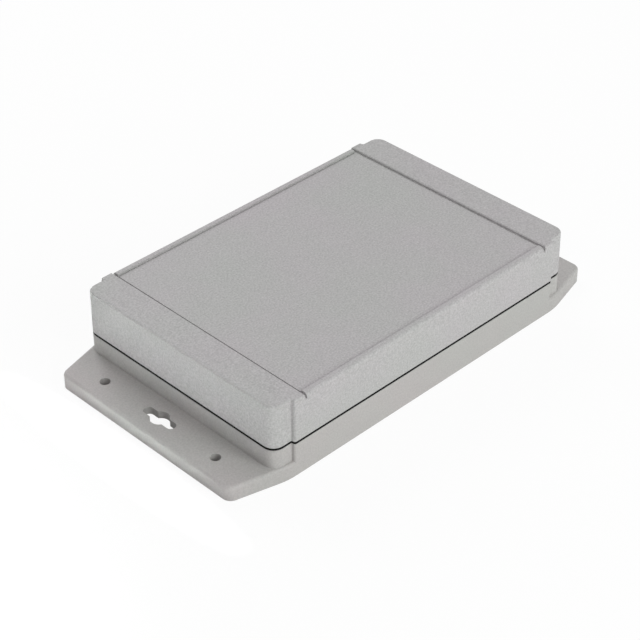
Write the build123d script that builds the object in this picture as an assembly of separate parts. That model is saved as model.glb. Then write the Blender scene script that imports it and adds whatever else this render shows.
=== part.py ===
from build123d import *
import math
import os

# Body of the box, measured at the seam between cover and base
body_length = 165.0
body_width = 110.0
box_height = 35.2
seam_height = 15.4
wall = 2.8
corner_radius = 5.0
cover_draft = 0.75
base_draft = 0.75

# Corner columns: the ends of the body are narrower than its long walls
column_length = 9.3
column_step = 1.7
step_outer_radius = 1.1
step_inner_radius = 0.5
least_radius = 0.3
step_round_share = 0.95

# Top of the cover: an end strip at each end, a sunken panel and a rim along each side
strip_length = 15.0
rim_width = 2.8
rim_drop = 0.15
panel_drop = 1.0
roof_thickness = 2.5
long_edge_radius = 1.6
end_edge_radius = 0.8
strip_chamfer = 0.4
groove_width = 0.6
groove_depth = 0.35
relief_width = 1.0
relief_reach_down = 2.6
relief_reach_in = 2.0

# Joint between the two shells: a tongue on the base, a rebate in the cover, a seal outside
seam_gap = 1.0
land_width = 1.5
tongue_height = 2.2
tongue_clearance = 0.15
seal_setback = 0.3
seam_edge_chamfer = 0.2

# Base floor and the flanges at its two ends
floor_thickness = 2.5
flange_reach = 18.2
flange_thickness = 6.6
flange_end_inset = 6.5
flange_bend_inset = 6.0
flange_bend_radius = 30.0
flange_corner_radius = 4.0
flange_edge_radius = 1.3
flange_web = 3.4
skirt_thickness = 2.4
flange_rib_thickness = 1.6
flange_rib_spacing = 30.0
flange_overlap = 0.2

# Fixing holes of the flanges
hole_diameter = 4.4
hole_from_body = 9.5
hole_spacing_y = 64.0
hole_boss_diameter = 9.6
keyhole_from_body = 9.0
keyhole_head_diameter = 8.0
keyhole_slot_width = 4.2
keyhole_length = 17.0

# Screws that hold the cover, driven from below in the corner columns
screw_inset = 6.4
screw_length = 16.0
screw_diameter = 2.5
screw_head_diameter = 5.6
screw_head_height = 2.1
screw_dome_height = 1.1
screw_seat_height = 9.0
recess_length = 3.1
recess_width = 1.0
recess_depth = 1.2
shank_clearance = 0.4
head_clearance = 0.4
pilot_clearance = 0.05
base_boss_diameter = 10.0
cover_boss_diameter = 8.4
pilot_extra_depth = 1.5

# Posts inside the base that a circuit board is screwed to
post_from_end = 22.5
post_from_side = 17.0
post_diameter = 6.4
post_height = 5.0
post_pilot_diameter = 2.5
post_rib_height = 4.0
post_rib_thickness = 1.4
post_rib_reach = 5.2

# Working values taken from the sizes above
half_length = body_length / 2
half_width = body_width / 2
land_height = seam_height - seam_gap / 2
lip_height = seam_height + seam_gap / 2
tongue_top = land_height + seam_gap / 2 + tongue_height
panel_height = box_height - panel_drop
groove_height = panel_height - groove_depth
ceiling_height = panel_height - roof_thickness
strip_inner_x = half_length - strip_length
screw_x = half_length - screw_inset
screw_y = half_width - column_step - screw_inset
hole_x = half_length + hole_from_body
hole_y = hole_spacing_y / 2
keyhole_x = half_length + keyhole_from_body
post_x = half_length - post_from_end
post_y = half_width - post_from_side
overshoot = 1.0
boss_bite = 0.5
tolerance = 0.01


def four_corners(x, y):
    return [(sx * x, sy * y) for sx in (-1, 1) for sy in (-1, 1)]


def corner_vertices(sketch, x, y):
    found = []
    for vertex in sketch.vertices():
        if abs(abs(vertex.X) - x) < tolerance and abs(abs(vertex.Y) - y) < tolerance:
            found.append(vertex)
    return found


def edges_at_height(solid, height):
    found = []
    for edge in solid.edges():
        box = edge.bounding_box()
        if abs(box.min.Z - height) < tolerance and abs(box.max.Z - height) < tolerance:
            found.append(edge)
    return ShapeList(found)


# The two rectangles that cross to make the body: a long narrow one with round corners
# between the end faces, and a shorter wide one between the long walls
def body_rectangles(inset):
    end_x = half_length - inset
    column_y = half_width - column_step - inset
    step_x = half_length - column_length - inset
    side_y = half_width - inset
    narrow = Rectangle(2 * end_x, 2 * column_y)
    narrow = fillet(corner_vertices(narrow, end_x, column_y), max(corner_radius - inset, least_radius))
    return narrow, Rectangle(2 * step_x, 2 * side_y)


# Plan outline of the body, moved inwards by an inset, with round steps at its columns
def body_outline(inset):
    narrow, wide = body_rectangles(inset)
    outline = narrow + wide
    step_x = half_length - column_length - inset
    outer_radius = max(step_outer_radius - inset, least_radius)
    inner_radius = min(step_inner_radius + inset, step_round_share * (column_step - outer_radius))
    outline = fillet(corner_vertices(outline, step_x, half_width - inset), outer_radius)
    inner_y = half_width - column_step - inset
    return fillet(corner_vertices(outline, step_x, inner_y), inner_radius)


# Space inside one shell, from its open edge inwards, narrowing with the draft of the mould
def inner_space(edge_height, depth, draft, direction):
    space = Part()
    for profile in body_rectangles(wall):
        space += extrude(profile, depth, dir=(0, 0, direction), taper=draft)
    return Pos(0, 0, edge_height) * space


# Plan outline of the bottom plate with its two flanges, tapering to the ends
def flange_outline(inset):
    end_x = half_length + flange_reach - inset
    end_y = half_width - flange_end_inset - inset
    bend_x = half_length - flange_bend_inset
    bend_y = half_width - inset
    points = [(bend_x, bend_y), (end_x, end_y), (end_x, -end_y), (bend_x, -bend_y)]
    points += [(-x, -y) for x, y in points]
    outline = make_face(Polyline(*points, close=True))
    outline = fillet(corner_vertices(outline, end_x, end_y), max(flange_corner_radius - inset, least_radius))
    return fillet(corner_vertices(outline, bend_x, bend_y), flange_bend_radius)


def ring(outer_inset, inner_inset, low, high):
    profile = body_outline(outer_inset)
    if inner_inset < wall:
        profile -= body_outline(inner_inset)
    else:
        for rectangle in body_rectangles(inner_inset):
            profile -= rectangle
    return Pos(0, 0, low) * extrude(profile, high - low)


def post(x, y, diameter, low, high):
    return Pos(x, y, (low + high) / 2) * Cylinder(diameter / 2, high - low)


def block(low, high):
    size = [b - a for a, b in zip(low, high)]
    centre = [(a + b) / 2 for a, b in zip(low, high)]
    return Pos(*centre) * Box(*size)


# Outside of the cover: drafted walls, raised end strips, rims and a sunken panel
def cover_outside():
    height = box_height - lip_height
    shape = Pos(0, 0, lip_height) * extrude(body_outline(0), height, taper=cover_draft)
    rim_height = box_height - rim_drop
    past = half_width + overshoot
    shape -= block((-strip_inner_x, -past, rim_height), (strip_inner_x, past, box_height + overshoot))
    long_edges = edges_at_height(shape, rim_height).filter_by(Axis.X)
    shape = fillet(long_edges, long_edge_radius)
    top_edges = edges_at_height(shape, box_height)
    outer_edges = [e for e in top_edges if abs(abs(e.center().X) - strip_inner_x) > tolerance]
    shape = fillet(outer_edges, end_edge_radius)
    panel_y = half_width - (height * math.tan(math.radians(cover_draft))) - rim_width
    shape -= block((-strip_inner_x, -panel_y, panel_height), (strip_inner_x, panel_y, box_height))
    for side in (-1, 1):
        low_y, high_y = sorted((side * panel_y, side * (panel_y - groove_width)))
        shape -= block((-strip_inner_x, low_y, groove_height), (strip_inner_x, high_y, box_height))
        shape -= end_relief(side)
        edge_bar = Box(strip_chamfer * math.sqrt(2), body_width + overshoot, strip_chamfer * math.sqrt(2))
        shape -= Pos(side * strip_inner_x, 0, box_height) * Rot(0, 45, 0) * edge_bar
    return shape


# Narrow relief between each end strip and the rims, running out over the long edges
def end_relief(side):
    low = box_height - relief_reach_down
    high = box_height + overshoot
    surface_y = half_width - (low - lip_height) * math.tan(math.radians(cover_draft))
    past = half_width + overshoot
    inner_y = surface_y - relief_reach_in
    points = [(surface_y, low), (inner_y, groove_height), (-inner_y, groove_height), (-surface_y, low)]
    points += [(-past, low), (-past, high), (past, high), (past, low)]
    section = Plane.YZ * make_face(Polyline(*points, close=True))
    start = strip_inner_x - relief_width if side > 0 else -strip_inner_x
    return Pos(start, 0, 0) * extrude(section, relief_width)


def cover_shell():
    shape = cover_outside()
    shape = chamfer(edges_at_height(shape, lip_height), seam_edge_chamfer)
    depth = ceiling_height - lip_height
    shape -= inner_space(lip_height, depth, cover_draft, 1)
    boss_top = ceiling_height + boss_bite
    boss_room = extrude(body_outline(land_width), boss_top - seam_height, taper=cover_draft)
    boss_room = Pos(0, 0, seam_height) * boss_room
    for x, y in four_corners(screw_x, screw_y):
        boss = post(x, y, cover_boss_diameter, seam_height, boss_top)
        shape += boss & boss_room
    rebate_top = tongue_top + tongue_clearance
    shape -= ring(land_width - tongue_clearance, wall + tongue_clearance, land_height, rebate_top)
    pilot_depth = screw_length - (seam_height - screw_seat_height) + pilot_extra_depth
    for x, y in four_corners(screw_x, screw_y):
        pilot = screw_diameter + 2 * pilot_clearance
        shape -= post(x, y, pilot, seam_height - overshoot, seam_height + pilot_depth)
    return shape


# Pocket under one flange that keeps its walls even, with bosses and ribs left standing
def flange_pocket(side):
    inner_x = half_length + skirt_thickness - wall
    reach = half_length + flange_reach
    span = Pos(side * (inner_x + reach) / 2, 0) * Rectangle(reach - inner_x, body_width)
    profile = flange_outline(skirt_thickness) & span
    for y in (-hole_y, hole_y):
        profile -= Pos(side * hole_x, y) * Circle(hole_boss_diameter / 2)
    for y in (-hole_y, -flange_rib_spacing / 2, flange_rib_spacing / 2, hole_y):
        profile -= Pos(side * half_length, y) * Rectangle(2 * flange_reach, flange_rib_thickness)
    return extrude(profile, flange_thickness - flange_web)


# Keyhole with a round middle for the screw head and a slot on both sides of it
def keyhole_outline():
    return SlotOverall(keyhole_length, keyhole_slot_width, rotation=90) + Circle(keyhole_head_diameter / 2)


def base_outside():
    plate = extrude(flange_outline(0), flange_thickness)
    plate = fillet(edges_at_height(plate, flange_thickness), flange_edge_radius)
    shape = extrude(body_outline(0), land_height)
    shape = chamfer(edges_at_height(shape, land_height), seam_edge_chamfer)
    start_x = half_length - column_length - step_outer_radius + flange_overlap
    end_x = half_length + flange_reach + overshoot
    for side in (-1, 1):
        low_x, high_x = sorted((side * start_x, side * end_x))
        shape += plate & block((low_x, -body_width, -overshoot), (high_x, body_width, box_height))
    return shape


def board_post(x, y):
    top = floor_thickness + post_height
    shape = post(x, y, post_diameter, floor_thickness - overshoot, top)
    profile = make_face(Polyline((0, 0), (post_rib_reach, 0), (0, post_rib_height), close=True))
    for turn in (0, 90, 180, 270):
        rib = Rot(90, 0, 0) * extrude(profile, post_rib_thickness / 2, both=True)
        shape += Pos(x, y, floor_thickness) * Rot(0, 0, turn) * rib
    return shape


def base_shell():
    shape = base_outside()
    shape += ring(land_width, wall, land_height - overshoot, tongue_top)
    shape -= inner_space(land_height, land_height - floor_thickness, base_draft, -1)
    for x, y in four_corners(screw_x, screw_y):
        boss = post(x, y, base_boss_diameter, 0, seam_height)
        shape += boss & extrude(body_outline(land_width), seam_height)
    for x, y in four_corners(screw_x, screw_y):
        bore = screw_head_diameter + 2 * head_clearance
        shape -= post(x, y, bore, -overshoot, screw_seat_height)
        clear = screw_diameter + 2 * shank_clearance
        shape -= post(x, y, clear, screw_seat_height - overshoot, seam_height + overshoot)
    for x, y in four_corners(post_x, post_y):
        shape += board_post(x, y)
    for x, y in four_corners(post_x, post_y):
        top = floor_thickness + post_height
        shape -= post(x, y, post_pilot_diameter, floor_thickness, top + overshoot)
    for side in (-1, 1):
        shape -= flange_pocket(side)
        opening = Pos(side * keyhole_x, 0, -overshoot) * keyhole_outline()
        shape -= extrude(opening, flange_thickness + 2 * overshoot)
    for x, y in four_corners(hole_x, hole_y):
        shape -= post(x, y, hole_diameter, -overshoot, flange_thickness + overshoot)
    return shape


# Dark rubber seal that lies on the land of the base, against its tongue
def seal_ring():
    return ring(seal_setback, land_width, land_height, lip_height)


# Pan head screw with a cross recess, head down
def cover_screw():
    seat = screw_seat_height
    radius = screw_head_diameter / 2
    rim = screw_head_height - screw_dome_height
    sphere = (radius ** 2 + screw_dome_height ** 2) / (2 * screw_dome_height)
    half_angle = math.asin(radius / sphere) / 2
    middle = (sphere * math.sin(half_angle), seat - screw_head_height + sphere * (1 - math.cos(half_angle)))
    dome = ThreePointArc((radius, seat - rim), middle, (0, seat - screw_head_height))
    tip = seat + screw_length
    shank = screw_diameter / 2
    outline = Polyline((0, tip), (shank, tip), (shank, seat), (radius, seat), (radius, seat - rim))
    profile = Plane.XZ * make_face(outline + dome + Line((0, seat - screw_head_height), (0, tip)))
    screw = revolve(profile, Axis.Z)
    for turn in (0, 90):
        slot = Box(recess_length, recess_width, 2 * recess_depth)
        screw -= Pos(0, 0, seat - screw_head_height) * Rot(0, 0, turn) * slot
    return screw


def write_node(name, shape):
    export_step(shape, os.path.join("parts", name + ".step"))


os.makedirs("parts", exist_ok=True)
single_screw = cover_screw()
screws = [Pos(x, y, 0) * single_screw for x, y in four_corners(screw_x, screw_y)]
write_node("base", base_shell())
write_node("cover", cover_shell())
write_node("seal", seal_ring())
write_node("cover_screws", Compound(children=screws))
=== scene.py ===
import math

import bpy
from mathutils import Matrix, Vector


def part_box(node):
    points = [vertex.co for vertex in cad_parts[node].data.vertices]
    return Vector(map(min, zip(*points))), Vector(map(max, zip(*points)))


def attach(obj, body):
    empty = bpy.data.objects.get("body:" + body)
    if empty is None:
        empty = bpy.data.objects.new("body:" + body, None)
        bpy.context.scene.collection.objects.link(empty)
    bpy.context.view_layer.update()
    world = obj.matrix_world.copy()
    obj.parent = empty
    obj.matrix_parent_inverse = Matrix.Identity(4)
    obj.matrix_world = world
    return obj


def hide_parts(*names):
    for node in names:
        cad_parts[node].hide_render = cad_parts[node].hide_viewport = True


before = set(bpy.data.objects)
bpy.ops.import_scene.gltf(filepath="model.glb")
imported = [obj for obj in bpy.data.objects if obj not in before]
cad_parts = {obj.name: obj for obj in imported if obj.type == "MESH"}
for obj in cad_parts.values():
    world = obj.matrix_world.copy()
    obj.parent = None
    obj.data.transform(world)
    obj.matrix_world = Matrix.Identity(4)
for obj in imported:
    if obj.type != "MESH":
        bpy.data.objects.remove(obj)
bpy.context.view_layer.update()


# Base: one light grey plastic moulding with its floor, walls, screw bosses and both fixing
# flanges. Its faces copy the fine eroded texture of the mould, and its edges are slightly eased
# and lightened with a painted highlight.
BASE_COLOUR = (0.474, 0.441, 0.442, 1.0)
BASE_SHADE = (0.454, 0.447, 0.436, 1.0)
BASE_FLECK = 0.42
BASE_EDGE_HIGHLIGHT = 0.45
PIT_SCALE = 2600.0
FLECK_SCALE = 1400.0
CLOUD_SCALE = 190.0
CLOUD_STRENGTH = 0.05
DRIFT_SCALE = 24.0
PIT_DEPTH = 0.00005
PIT_STRENGTH = 0.3
PLASTIC_ROUGHNESS = (0.52, 0.66)
PLASTIC_IOR = 1.5
PLASTIC_SPECULAR = 0.35
EASED_EDGE = 0.0002
EDGE_MASK_START = 0.80
EDGE_MASK_END = 0.95
# Colour of the painted highlight that lightens every sharp edge, where the edges catch the light.
EDGE_HIGHLIGHT_COLOUR = (0.75, 0.74, 0.73, 1.0)


def effect_group(name, inputs, outputs):
    group = bpy.data.node_groups.new(name, "ShaderNodeTree")
    for label, value in inputs.items():
        kind = "NodeSocketColor" if isinstance(value, tuple) else "NodeSocketFloat"
        group.interface.new_socket(label, in_out="INPUT", socket_type=kind).default_value = value
    for label, kind in outputs.items():
        group.interface.new_socket(label, in_out="OUTPUT", socket_type=kind)
    return group, group.nodes.new("NodeGroupInput"), group.nodes.new("NodeGroupOutput")


def feed(tree, socket, value):
    if isinstance(value, bpy.types.NodeSocket):
        tree.links.new(value, socket)
    else:
        socket.default_value = value


def noise(tree, scale, detail=2.0):
    node = tree.nodes.new("ShaderNodeTexNoise")
    place = tree.nodes.new("ShaderNodeTexCoord").outputs["Object"]
    tree.links.new(place, node.inputs["Vector"])
    feed(tree, node.inputs["Scale"], scale)
    node.inputs["Detail"].default_value = detail
    return node.outputs["Fac"]


def maths(tree, operation, first, second):
    node = tree.nodes.new("ShaderNodeMath")
    node.operation = operation
    feed(tree, node.inputs[0], first)
    feed(tree, node.inputs[1], second)
    return node.outputs[0]


def spread(tree, value, low, high, start=0.3, end=0.7):
    node = tree.nodes.new("ShaderNodeMapRange")
    node.inputs["From Min"].default_value = start
    node.inputs["From Max"].default_value = end
    feed(tree, node.inputs["To Min"], low)
    feed(tree, node.inputs["To Max"], high)
    feed(tree, node.inputs["Value"], value)
    return node.outputs["Result"]


def blend(tree, kind, factor, first, second):
    node = tree.nodes.new("ShaderNodeMix")
    node.data_type = "RGBA"
    node.blend_type = kind
    feed(tree, node.inputs[0], factor)
    feed(tree, node.inputs[6], first)
    feed(tree, node.inputs[7], second)
    return node.outputs[2]


def place_group(tree, group, values):
    node = tree.nodes.new("ShaderNodeGroup")
    node.node_tree = group
    for label, value in values.items():
        feed(tree, node.inputs[label], value)
    return node


# Moulded face: pits of the eroded mould, small flecks, clouds where the plastic flowed, and a
# slow drift between two tones of the same grey.
def moulded_face():
    inputs = {"Tone": BASE_COLOUR, "Second tone": BASE_SHADE, "Fleck strength": BASE_FLECK,
              "Cloud strength": CLOUD_STRENGTH, "Pit scale": PIT_SCALE, "Fleck scale": FLECK_SCALE}
    outputs = {"Color": "NodeSocketColor", "Roughness": "NodeSocketFloat",
               "Height": "NodeSocketFloat"}
    group, given, result = effect_group("moulded_face", inputs, outputs)
    drift = spread(group, noise(group, DRIFT_SCALE, 3.0), 0.0, 1.0)
    tone = blend(group, "MIX", drift, given.outputs["Tone"], given.outputs["Second tone"])
    fleck = maths(group, "SUBTRACT", noise(group, given.outputs["Fleck scale"]), 0.5)
    cloud = maths(group, "SUBTRACT", noise(group, CLOUD_SCALE, 3.0), 0.5)
    fleck = maths(group, "MULTIPLY", fleck, given.outputs["Fleck strength"])
    cloud = maths(group, "MULTIPLY", cloud, given.outputs["Cloud strength"])
    change = maths(group, "ADD", maths(group, "ADD", fleck, cloud), 1.0)
    color = blend(group, "MULTIPLY", 1.0, tone, change)
    pits = group.nodes.new("ShaderNodeTexVoronoi")
    pits.feature = "SMOOTH_F1"
    place = group.nodes.new("ShaderNodeTexCoord").outputs["Object"]
    group.links.new(place, pits.inputs["Vector"])
    group.links.new(given.outputs["Pit scale"], pits.inputs["Scale"])
    fine = noise(group, given.outputs["Pit scale"], 3.0)
    group.links.new(color, result.inputs["Color"])
    group.links.new(spread(group, fine, *PLASTIC_ROUGHNESS), result.inputs["Roughness"])
    group.links.new(maths(group, "ADD", pits.outputs["Distance"], fine), result.inputs["Height"])
    return group


# Eased edge: the normal of a small round on every sharp edge, and a mask of where it lies.
def eased_edge():
    outputs = {"Normal": "NodeSocketVector", "Edge": "NodeSocketFloat"}
    group, given, result = effect_group("eased_edge", {"Radius": EASED_EDGE}, outputs)
    bevel = group.nodes.new("ShaderNodeBevel")
    bevel.samples = 8
    group.links.new(given.outputs["Radius"], bevel.inputs["Radius"])
    face = group.nodes.new("ShaderNodeNewGeometry")
    across = group.nodes.new("ShaderNodeVectorMath")
    across.operation = "DOT_PRODUCT"
    group.links.new(bevel.outputs["Normal"], across.inputs[0])
    group.links.new(face.outputs["Normal"], across.inputs[1])
    group.links.new(bevel.outputs["Normal"], result.inputs["Normal"])
    edge = spread(group, across.outputs["Value"], 1.0, 0.0, EDGE_MASK_START, EDGE_MASK_END)
    group.links.new(edge, result.inputs["Edge"])
    return group


def new_material(name):
    material = bpy.data.materials.new(name)
    material.use_nodes = True
    return material, material.node_tree, material.node_tree.nodes["Principled BSDF"]


def bump(tree, strength, distance, height, normal):
    node = tree.nodes.new("ShaderNodeBump")
    node.inputs["Strength"].default_value = strength
    node.inputs["Distance"].default_value = distance
    feed(tree, node.inputs["Height"], height)
    feed(tree, node.inputs["Normal"], normal)
    return node.outputs["Normal"]


def grey_plastic(name, tone, second_tone, fleck, edge_highlight):
    material, tree, shader = new_material(name)
    shader.inputs["IOR"].default_value = PLASTIC_IOR
    shader.inputs["Specular IOR Level"].default_value = PLASTIC_SPECULAR
    values = {"Tone": tone, "Second tone": second_tone, "Fleck strength": fleck}
    face = place_group(tree, face_group, values)
    edge = place_group(tree, edge_group, {"Radius": EASED_EDGE})
    # Painted highlight: the edge mask lightens the colour along every sharp edge.
    painted_highlight = maths(tree, "MULTIPLY", edge.outputs["Edge"], edge_highlight)
    color = blend(tree, "MIX", painted_highlight, face.outputs["Color"], EDGE_HIGHLIGHT_COLOUR)
    tree.links.new(color, shader.inputs["Base Color"])
    tree.links.new(face.outputs["Roughness"], shader.inputs["Roughness"])
    normal = bump(tree, PIT_STRENGTH, PIT_DEPTH, face.outputs["Height"], edge.outputs["Normal"])
    tree.links.new(normal, shader.inputs["Normal"])
    return material


def finish_node(name, material):
    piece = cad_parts[name]
    piece.data.materials.clear()
    piece.data.materials.append(material)


face_group = moulded_face()
edge_group = eased_edge()
base_plastic = grey_plastic("base_plastic", BASE_COLOUR, BASE_SHADE, BASE_FLECK, BASE_EDGE_HIGHLIGHT)
finish_node("base", base_plastic)


# Cover screws: four pan head tapping screws of zinc-plated steel, driven from below through the
# base into the cover. The cross recess is pressed into the head, and the thread is rolled.
HEAD_RADIUS = 0.0028
RIM_HEIGHT = 0.0010
DOME_HEIGHT = 0.0011
RECESS_LENGTH = 0.0034
RECESS_WIDTH = 0.0010
RECESS_DEPTH = 0.0012
RECESS_TAPER = 0.75
SHANK_LENGTH = 0.0160
TIP_LENGTH = 0.0018
CORE_RADIUS = 0.00096
CREST_RADIUS = 0.00124
THREAD_PITCH = 0.0010
TIP_SHARE = 0.3
RECESS_REACHES = (2.0, 1.9)
HEAD_SIDES = 40
DOME_RINGS = 7
SHANK_SIDES = 24
THREAD_STEPS = 20
SHARP_ANGLE = 0.7
TURN_SEED = 7
ZINC_EDGE = 0.00012
ZINC_CLOUD_SCALE = 700.0
ZINC_ROUGHNESS = (0.26, 0.46)
ZINC_GRAIN_STRENGTH = 0.15
ZINC_GRAIN_DEPTH = 0.00002
ZINC = (0.66, 0.66, 0.64, 1.0)
DULL_ZINC = (0.47, 0.47, 0.45, 1.0)


def geometry(tree, kind, settings=(), **values):
    node = tree.nodes.new(kind)
    for setting, choice in settings:
        setattr(node, setting, choice)
    for label, value in values.items():
        feed(tree, node.inputs[label.replace("_", " ")], value)
    return node


def vector(tree, x, y, z):
    node = tree.nodes.new("ShaderNodeCombineXYZ")
    for socket, value in zip(node.inputs, (x, y, z)):
        feed(tree, socket, value)
    return node.outputs[0]


def moved(tree, mesh, x, y, z):
    node = geometry(tree, "GeometryNodeTransform", Geometry=mesh, Translation=vector(tree, x, y, z))
    return node.outputs["Geometry"]


def added_input(tree, label, kind):
    return tree.interface.new_socket(label, in_out="INPUT", socket_type=kind).identifier


# Runs a tree on a starting mesh and keeps what it makes as a plain mesh with one material.
def grown(name, start, tree, names, values):
    carrier = bpy.data.objects.new(name + "_start", start)
    bpy.context.scene.collection.objects.link(carrier)
    maker = carrier.modifiers.new(name, "NODES")
    maker.node_group = tree
    for label, value in values.items():
        maker[names[label]] = value
    bpy.context.view_layer.update()
    made = carrier.evaluated_get(bpy.context.evaluated_depsgraph_get())
    piece = bpy.data.objects.new(name, bpy.data.meshes.new_from_object(made))
    bpy.context.scene.collection.objects.link(piece)
    while piece.data.materials[0] is None:
        piece.data.materials.pop(index=0)
    bpy.data.objects.remove(carrier)
    return piece


# Head: a short cylinder whose lower face is pushed out into a dome, less the two bars of the
# recess. The bars differ a little in depth, so that their ends never lie in one plane.
def screw_head(tree, given):
    rim = given["Rim height"]
    radius = given["Head radius"]
    depth = given["Recess depth"]
    disc = geometry(tree, "GeometryNodeMeshCylinder", [("fill_type", "TRIANGLE_FAN")],
                    Vertices=HEAD_SIDES, Fill_Segments=DOME_RINGS, Radius=radius, Depth=rim)
    place = tree.nodes.new("ShaderNodeSeparateXYZ")
    tree.links.new(tree.nodes.new("GeometryNodeInputPosition").outputs[0], place.inputs[0])
    across = maths(tree, "MULTIPLY", place.outputs["X"], place.outputs["X"])
    along = maths(tree, "MULTIPLY", place.outputs["Y"], place.outputs["Y"])
    square = maths(tree, "MULTIPLY", radius, radius)
    share = maths(tree, "DIVIDE", maths(tree, "ADD", across, along), square)
    drop = maths(tree, "MULTIPLY", maths(tree, "SUBTRACT", share, 1.0), given["Dome height"])
    domed = geometry(tree, "GeometryNodeSetPosition", Geometry=disc.outputs["Mesh"],
                     Selection=disc.outputs["Bottom"], Offset=vector(tree, 0.0, 0.0, drop))
    inner = maths(tree, "GREATER_THAN", place.outputs["Z"], 0.0)
    narrow = vector(tree, maths(tree, "MULTIPLY", place.outputs["X"], RECESS_TAPER),
                    maths(tree, "MULTIPLY", place.outputs["Y"], RECESS_TAPER), place.outputs["Z"])
    crown = maths(tree, "ADD", maths(tree, "MULTIPLY", rim, 0.5), given["Dome height"])
    crown = maths(tree, "MULTIPLY", crown, -1.0)
    cut = geometry(tree, "GeometryNodeMeshBoolean", [("operation", "DIFFERENCE")],
                   Mesh_1=domed.outputs["Geometry"])
    long, wide = given["Recess length"], given["Recess width"]
    for (x, y), reach in zip(((long, wide), (wide, long)), RECESS_REACHES):
        size = vector(tree, x, y, maths(tree, "MULTIPLY", depth, reach))
        bar = geometry(tree, "GeometryNodeMeshCube", Size=size)
        bar = geometry(tree, "GeometryNodeSetPosition", Geometry=bar.outputs["Mesh"],
                       Selection=inner, Position=narrow)
        tree.links.new(moved(tree, bar.outputs["Geometry"], 0.0, 0.0, crown), cut.inputs["Mesh 2"])
    return moved(tree, cut.outputs["Mesh"], 0.0, 0.0, maths(tree, "MULTIPLY", rim, -0.5))


# Shank: a core with a blunt tip, and a ridge wound round it for the thread.
def screw_shank(tree, given):
    core = given["Core radius"]
    straight = maths(tree, "SUBTRACT", given["Shank length"], given["Tip length"])
    rod = geometry(tree, "GeometryNodeMeshCylinder", Vertices=SHANK_SIDES, Radius=core,
                   Depth=straight)
    rod = moved(tree, rod.outputs["Mesh"], 0.0, 0.0, maths(tree, "MULTIPLY", straight, 0.5))
    tip = geometry(tree, "GeometryNodeMeshCone", Vertices=SHANK_SIDES, Radius_Bottom=core,
                   Radius_Top=maths(tree, "MULTIPLY", core, TIP_SHARE), Depth=given["Tip length"])
    tip = moved(tree, tip.outputs["Mesh"], 0.0, 0.0, straight)
    turns = maths(tree, "DIVIDE", straight, given["Thread pitch"])
    winding = geometry(tree, "GeometryNodeCurveSpiral", Resolution=THREAD_STEPS, Rotations=turns,
                       Start_Radius=core, End_Radius=core, Height=straight)
    upright = geometry(tree, "GeometryNodeSetCurveNormal", [("mode", "Z_UP")],
                       Curve=winding.outputs["Curve"])
    ridge = geometry(tree, "GeometryNodeCurvePrimitiveCircle", [("mode", "RADIUS")], Resolution=3,
                     Radius=maths(tree, "SUBTRACT", given["Crest radius"], core))
    outward = geometry(tree, "GeometryNodeTransform", Geometry=ridge.outputs["Curve"],
                       Rotation=vector(tree, 0.0, 0.0, math.pi))
    thread = geometry(tree, "GeometryNodeCurveToMesh", Curve=upright.outputs["Curve"],
                      Profile_Curve=outward.outputs["Geometry"], Fill_Caps=True)
    return rod, tip, thread.outputs["Mesh"]


# Set: one screw stands on each corner of a grid, turned as far as its own thread took it.
def screw_set():
    tree = bpy.data.node_groups.new("cover_screws", "GeometryNodeTree")
    tree.interface.new_socket("Geometry", in_out="OUTPUT", socket_type="NodeSocketGeometry")
    sizes = ("Spacing X", "Spacing Y", "Seat height", "Head radius", "Rim height", "Dome height",
             "Recess length", "Recess width", "Recess depth", "Shank length", "Tip length",
             "Core radius", "Crest radius", "Thread pitch")
    names = {label: added_input(tree, label, "NodeSocketFloat") for label in sizes}
    names["Seed"] = added_input(tree, "Seed", "NodeSocketInt")
    names["Plating"] = added_input(tree, "Plating", "NodeSocketMaterial")
    given = tree.nodes.new("NodeGroupInput").outputs
    screw = tree.nodes.new("GeometryNodeJoinGeometry")
    for part in (screw_head(tree, given), *screw_shank(tree, given)):
        tree.links.new(part, screw.inputs["Geometry"])
    grid = geometry(tree, "GeometryNodeMeshGrid", Size_X=given["Spacing X"],
                    Size_Y=given["Spacing Y"], Vertices_X=2, Vertices_Y=2)
    chance = tree.nodes.new("FunctionNodeRandomValue")
    chance.inputs[3].default_value = 2 * math.pi
    tree.links.new(given["Seed"], chance.inputs["Seed"])
    seats = moved(tree, grid.outputs["Mesh"], 0.0, 0.0, given["Seat height"])
    placed = geometry(tree, "GeometryNodeInstanceOnPoints", Points=seats,
                      Instance=screw.outputs["Geometry"],
                      Rotation=vector(tree, 0.0, 0.0, chance.outputs[1]))
    solid = geometry(tree, "GeometryNodeRealizeInstances", Geometry=placed.outputs["Instances"])
    smooth = geometry(tree, "GeometryNodeSetShadeSmooth", Geometry=solid.outputs["Geometry"])
    angle = tree.nodes.new("GeometryNodeInputMeshEdgeAngle").outputs["Unsigned Angle"]
    creased = geometry(tree, "GeometryNodeSetShadeSmooth", [("domain", "EDGE")],
                       Geometry=smooth.outputs["Geometry"], Shade_Smooth=False,
                       Selection=maths(tree, "GREATER_THAN", angle, SHARP_ANGLE))
    plated = geometry(tree, "GeometryNodeSetMaterial", Geometry=creased.outputs["Geometry"],
                      Material=given["Plating"])
    tree.links.new(plated.outputs["Geometry"], tree.nodes.new("NodeGroupOutput").inputs[0])
    return tree, names


steel, tree, shader = new_material("zinc_plated_steel")
cloud = noise(tree, ZINC_CLOUD_SCALE, 4.0)
edge = place_group(tree, edge_group, {"Radius": ZINC_EDGE})
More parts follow.
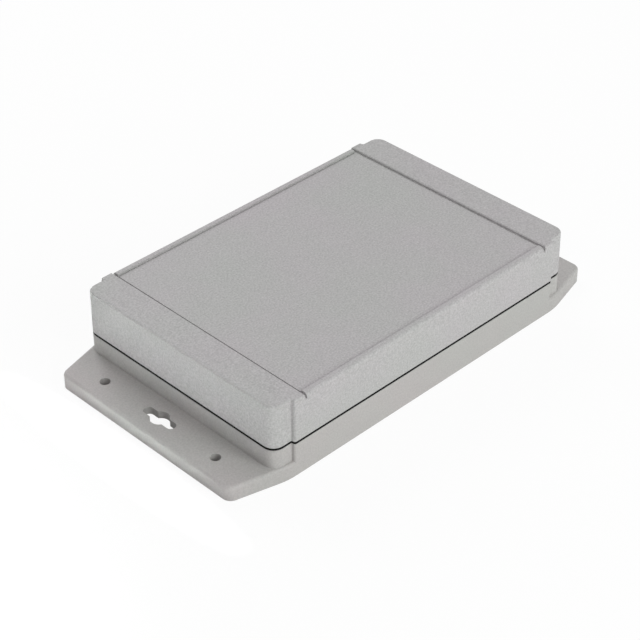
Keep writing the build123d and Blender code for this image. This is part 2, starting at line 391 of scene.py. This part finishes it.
# The zinc varies between two tones in clouds, and its sharp edges get a painted highlight in the
# bright tone.
cloud_and_edge_highlight = maths(tree, "MAXIMUM", cloud, edge.outputs["Edge"])
tree.links.new(blend(tree, "MIX", cloud_and_edge_highlight, DULL_ZINC, ZINC), shader.inputs["Base Color"])
tree.links.new(spread(tree, cloud, *ZINC_ROUGHNESS), shader.inputs["Roughness"])
grain = bump(tree, ZINC_GRAIN_STRENGTH, ZINC_GRAIN_DEPTH, cloud, edge.outputs["Normal"])
tree.links.new(grain, shader.inputs["Normal"])
shader.inputs["Metallic"].default_value = 1.0

screw_low, screw_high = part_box("cover_screws")
values = {"Spacing X": screw_high[0] - screw_low[0] - 2 * HEAD_RADIUS,
          "Spacing Y": screw_high[1] - screw_low[1] - 2 * HEAD_RADIUS,
          "Seat height": screw_high[2] - SHANK_LENGTH, "Head radius": HEAD_RADIUS,
          "Rim height": RIM_HEIGHT, "Dome height": DOME_HEIGHT,
          "Recess length": RECESS_LENGTH, "Recess width": RECESS_WIDTH,
          "Recess depth": RECESS_DEPTH, "Shank length": SHANK_LENGTH, "Tip length": TIP_LENGTH,
          "Core radius": CORE_RADIUS, "Crest radius": CREST_RADIUS, "Thread pitch": THREAD_PITCH,
          "Seed": TURN_SEED, "Plating": steel}
screws = grown("screws", bpy.data.meshes.new("screw_start"), *screw_set(), values)
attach(screws, "root")
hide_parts("cover_screws")


# Seal: a black rubber ring that lies on the edge of the base, pressed between the two shells.
# It follows their outline round the corner columns, and its outer side bulges into the joint.
# Its near-black colour is partly the rubber and partly painted shade of the gap in the joint.
SEAL_SETBACK = 0.00005
SEAL_DEPTH = 0.0009
SEAL_ROUND = 0.00018
WALL_TO_SEAL = 0.0003
COLUMN_LENGTH = 0.0093
COLUMN_STEP = 0.0017
CORNER_ROUND = 0.0050
STEP_OUTER_ROUND = 0.0011
STEP_INNER_ROUND = 0.0005
ARC_POINTS = 8
# Near-black of the seal, which also stands in for the shade inside the joint as painted shade.
SEAL_BLACK_AND_GAP_SHADE = (0.004, 0.004, 0.004, 1.0)
RUBBER_BLOOM = (0.013, 0.013, 0.012, 1.0)
BLOOM_SCALE = 900.0
RUBBER_ROUGHNESS = (0.72, 0.9)
RUBBER_SPECULAR = 0.2
RUBBER_GRAIN_STRENGTH = 0.2
RUBBER_GRAIN_DEPTH = 0.00003


def round_corner(before, corner, after, radius):
    corner = Vector(corner)
    start = corner + (Vector(before) - corner).normalized() * radius
    end = corner + (Vector(after) - corner).normalized() * radius
    centre = start + end - corner
    points = []
    for step in range(ARC_POINTS + 1):
        turn = step / ARC_POINTS * math.pi / 2
        points.append(centre + (end - centre) * math.sin(turn) + (start - centre) * math.cos(turn))
    return points


def seal_path(end_x, side_y):
    column_y = side_y - COLUMN_STEP
    step_x = end_x - COLUMN_LENGTH
    quarter = [((end_x, column_y), CORNER_ROUND), ((step_x, column_y), STEP_INNER_ROUND),
               ((step_x, side_y), STEP_OUTER_ROUND)]
    corners = quarter + [((-x, y), radius) for (x, y), radius in reversed(quarter)]
    corners += [((-x, -y), radius) for (x, y), radius in corners]
    points = []
    for index, (corner, radius) in enumerate(corners):
        before = corners[index - 1][0]
        after = corners[(index + 1) % len(corners)][0]
        points += round_corner(before, corner, after, radius)
    return points


def seal_tree():
    tree = bpy.data.node_groups.new("seal_sweep", "GeometryNodeTree")
    tree.interface.new_socket("Geometry", in_out="OUTPUT", socket_type="NodeSocketGeometry")
    tree.interface.new_socket("Geometry", in_out="INPUT", socket_type="NodeSocketGeometry")
    sizes = ("Depth", "Height", "Round")
    names = {label: added_input(tree, label, "NodeSocketFloat") for label in sizes}
    names["Rubber"] = added_input(tree, "Rubber", "NodeSocketMaterial")
    given = tree.nodes.new("NodeGroupInput").outputs
    path = geometry(tree, "GeometryNodeMeshToCurve", Mesh=given["Geometry"])
    level = geometry(tree, "GeometryNodeSetCurveNormal", [("mode", "Z_UP")],
                     Curve=path.outputs["Curve"])
    section = geometry(tree, "GeometryNodeCurvePrimitiveQuadrilateral", Width=given["Depth"],
                       Height=given["Height"])
    section = geometry(tree, "GeometryNodeFilletCurve", [("mode", "POLY")],
                       Curve=section.outputs["Curve"], Radius=given["Round"], Count=4)
    half_depth = maths(tree, "MULTIPLY", given["Depth"], -0.5)
    inward = moved(tree, section.outputs["Curve"], half_depth, 0.0, 0.0)
    ring = geometry(tree, "GeometryNodeCurveToMesh", Curve=level.outputs["Curve"],
                    Profile_Curve=inward)
    smooth = geometry(tree, "GeometryNodeSetShadeSmooth", Geometry=ring.outputs["Mesh"])
    blacked = geometry(tree, "GeometryNodeSetMaterial", Geometry=smooth.outputs["Geometry"],
                       Material=given["Rubber"])
    tree.links.new(blacked.outputs["Geometry"], tree.nodes.new("NodeGroupOutput").inputs[0])
    return tree, names


seal_and_gap_shade, tree, shader = new_material("black_seal_rubber")
bloom = noise(tree, BLOOM_SCALE, 3.0)
# Painted shade: the seal's near-black colour also stands in for the shade inside the joint.
tree.links.new(blend(tree, "MIX", bloom, SEAL_BLACK_AND_GAP_SHADE, RUBBER_BLOOM), shader.inputs["Base Color"])
tree.links.new(spread(tree, bloom, *RUBBER_ROUGHNESS), shader.inputs["Roughness"])
grain = bump(tree, RUBBER_GRAIN_STRENGTH, RUBBER_GRAIN_DEPTH, bloom, (0.0, 0.0, 0.0))
tree.links.new(grain, shader.inputs["Normal"])
shader.inputs["Specular IOR Level"].default_value = RUBBER_SPECULAR

seal_low, seal_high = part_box("seal")
reach = WALL_TO_SEAL - SEAL_SETBACK
path = seal_path(seal_high[0] + reach, seal_high[1] + reach)
middle = (seal_low[2] + seal_high[2]) / 2
outline = bpy.data.meshes.new("seal_outline")
sides = [(index, (index + 1) % len(path)) for index in range(len(path))]
outline.from_pydata([(x, y, middle) for x, y in path], sides, [])
values = {"Depth": SEAL_DEPTH, "Height": seal_high[2] - seal_low[2], "Round": SEAL_ROUND,
          "Rubber": seal_and_gap_shade}
seal = grown("seal_ring", outline, *seal_tree(), values)
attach(seal, "root")
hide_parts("seal")


# Cover: the second moulding of the same plastic, with its raised end strips, rims and sunken
# panel. It comes from another mould, and its grey is a little cooler than the base's.
COVER_COLOUR = (0.455, 0.455, 0.447, 1.0)
COVER_SHADE = (0.476, 0.450, 0.464, 1.0)
COVER_FLECK = 0.75
# The cover's edges carry a weaker painted highlight than the base's.
COVER_EDGE_HIGHLIGHT = 0.1
cover_plastic = grey_plastic("cover_plastic", COVER_COLOUR, COVER_SHADE, COVER_FLECK, COVER_EDGE_HIGHLIGHT)
finish_node("cover", cover_plastic)


# Floor: a white sheet that the box lies on. What looks at it sees plain white, and a share of
# it stays matt paper, which keeps a faint shadow of the box.
FLOOR_SIZE = 6.0
FLOOR_DROP = 0.0001
PAPER_WHITE = (0.9, 0.9, 0.9, 1.0)
GLOW_SHARE = 0.93


def seen_directly(tree):
    path = tree.nodes.new("ShaderNodeLightPath")
    seen = maths(tree, "MAXIMUM", path.outputs["Is Camera Ray"], path.outputs["Is Glossy Ray"])
    return maths(tree, "MAXIMUM", seen, path.outputs["Is Transmission Ray"])


half = FLOOR_SIZE / 2
corners = [(-half, -half), (half, -half), (half, half), (-half, half)]
sheet = bpy.data.meshes.new("floor")
sheet.from_pydata([(x, y, -FLOOR_DROP) for x, y in corners], [], [(0, 1, 2, 3)])
floor = bpy.data.objects.new("floor", sheet)
bpy.context.scene.collection.objects.link(floor)
paper, tree, shader = new_material("white_paper")
shader.inputs["Base Color"].default_value = PAPER_WHITE
shader.inputs["Roughness"].default_value = 1.0
glow = tree.nodes.new("ShaderNodeEmission")
both = tree.nodes.new("ShaderNodeMixShader")
tree.links.new(maths(tree, "MULTIPLY", seen_directly(tree), GLOW_SHARE), both.inputs[0])
tree.links.new(shader.outputs[0], both.inputs[1])
tree.links.new(glow.outputs[0], both.inputs[2])
tree.links.new(both.outputs[0], tree.nodes["Material Output"].inputs["Surface"])
floor.data.materials.append(paper)


# Camera: stands off the near left corner of the box and looks down on it.
PHOTO_WIDTH = 640.0
FOCAL_PIXELS = 1877.6
SENSOR_WIDTH = 36.0
CAMERA_PLACE = Vector((-0.4356, -0.4370, 0.4578))
CAMERA_RIGHT = Vector((0.71121, -0.70297, -0.00365))
CAMERA_DOWN = Vector((-0.41785, -0.41857, -0.80635))
lens = bpy.data.cameras.new("camera")
lens.sensor_width = SENSOR_WIDTH
lens.lens = FOCAL_PIXELS / PHOTO_WIDTH * SENSOR_WIDTH
camera = bpy.data.objects.new("camera", lens)
bpy.context.scene.collection.objects.link(camera)
right = CAMERA_RIGHT.normalized()
up = (-CAMERA_DOWN - right * (-CAMERA_DOWN).dot(right)).normalized()
turn = Matrix((right, up, right.cross(up))).transposed().to_4x4()
camera.matrix_world = Matrix.Translation(CAMERA_PLACE) @ turn
bpy.context.scene.camera = camera


# Lamps: a surround that the camera sees as plain white, two broad soft lamps at the front and
# back, a small one over the paper to the left, and a narrow one over the left flange's edge.
SURROUND = 0.44
FULL_BEAM = 3.14
surround = bpy.data.worlds.new("surround")
bpy.context.scene.world = surround
surround.use_nodes = True
tree = surround.node_tree
tree.nodes["Background"].inputs["Color"].default_value = (1.0, 1.0, 1.0, 1.0)
path = tree.nodes.new("ShaderNodeLightPath")
strength = maths(tree, "MAXIMUM", path.outputs["Is Camera Ray"], SURROUND)
tree.links.new(strength, tree.nodes["Background"].inputs["Strength"])


def soft_lamp(name, place, target, size, watts, colour, beam=FULL_BEAM):
    data = bpy.data.lights.new(name, "AREA")
    data.shape = "ELLIPSE"
    data.size, data.size_y = size
    data.energy = watts
    data.color = colour
    data.spread = beam
    lamp = bpy.data.objects.new(name, data)
    aim = (Vector(target) - Vector(place)).to_track_quat("-Z", "Y").to_matrix().to_4x4()
    lamp.matrix_world = Matrix.Translation(Vector(place)) @ aim
    bpy.context.scene.collection.objects.link(lamp)


front = {"size": (0.7, 0.7), "watts": 6.5, "colour": (0.95, 1.0, 0.96)}
back = {"size": (0.8, 0.8), "watts": 5.5, "colour": (1.0, 0.98, 1.0)}
left_floor = {"size": (0.25, 0.25), "watts": 1.9, "colour": (0.93, 1.0, 0.95), "beam": 1.1}
flange_floor = {"size": (0.014, 0.14), "watts": 0.027, "colour": (0.95, 1.0, 0.97), "beam": 0.25}
soft_lamp("front_lamp", (0.05, -0.95, 0.55), (0, 0, 0), **front)
soft_lamp("back_lamp", (0.20, 0.95, 0.70), (0, 0, 0), **back)
soft_lamp("left_floor_lamp", (-0.36, 0.05, 0.25), (-0.36, 0.05, 0.0), **left_floor)
soft_lamp("flange_floor_lamp", (-0.114, 0.0, 0.04), (-0.114, 0.0, 0.0), **flange_floor)
bpy.context.scene.view_settings.view_transform = "Standard"
